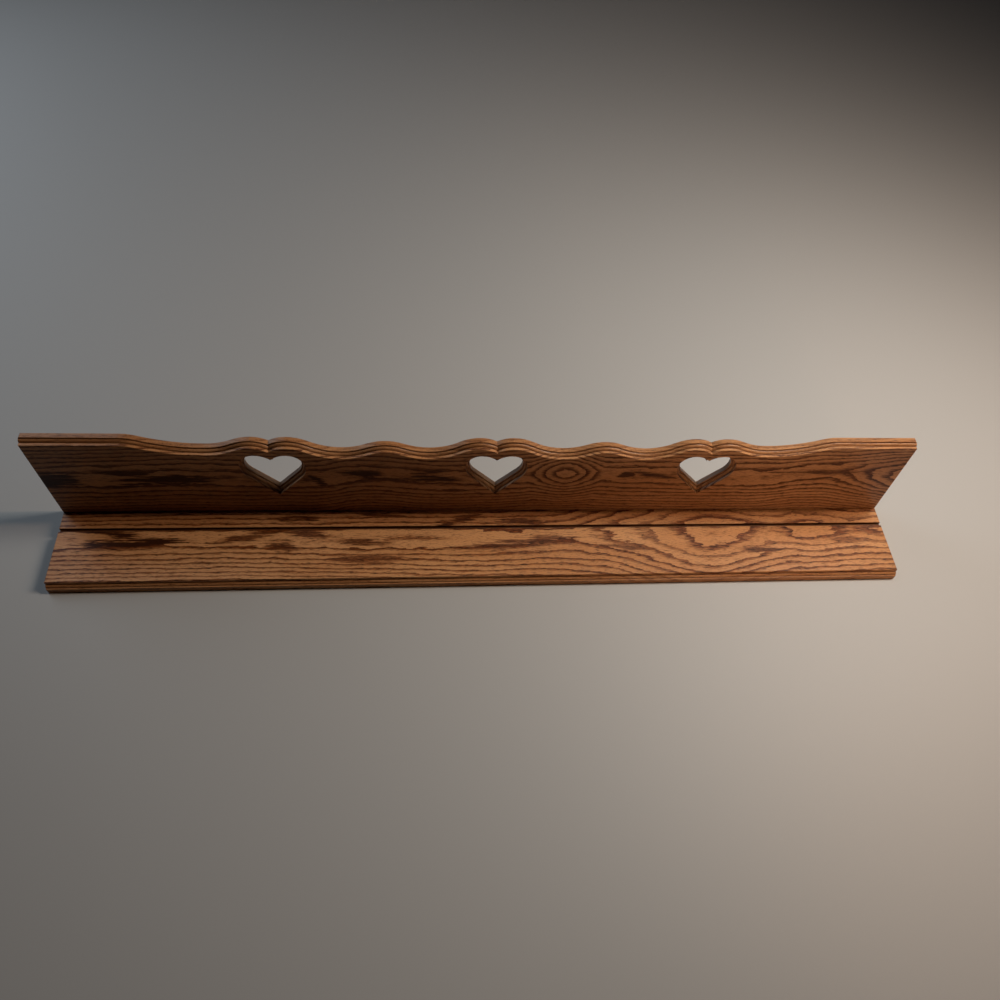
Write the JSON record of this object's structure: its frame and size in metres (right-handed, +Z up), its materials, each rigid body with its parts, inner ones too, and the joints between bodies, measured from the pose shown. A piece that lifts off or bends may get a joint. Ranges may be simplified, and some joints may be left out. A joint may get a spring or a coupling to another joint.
{
  "type": "plate shelf",
  "caption": "Stained oak plate shelf: scalloped back board with moulded edges and heart cut-outs, on a shelf board with a plate groove, hung on keyhole plates.",
  "frame": {"origin": "under the middle of the shelf's box, on the surface that it stands on", "axes": "+X along the shelf, to the right as seen from the front, +Y from the front towards the wall, +Z up"},
  "size_m": [1.3716, 0.1588, 0.1778],
  "materials": {
    "stained_oak": "brown stain under satin varnish",
    "zinc_plate": "zinc-plated sheet steel",
    "screw_steel": "zinc-plated wood screws"
  },
  "bodies": {
    "root": {"back_board": "stained_oak", "shelf_board": "stained_oak", "joint_screws": "screw_steel", "keyhole_plate_left": "zinc_plate", "keyhole_plate_right": "zinc_plate", "hanger_screws": "screw_steel"}
  },
  "joints": []
}
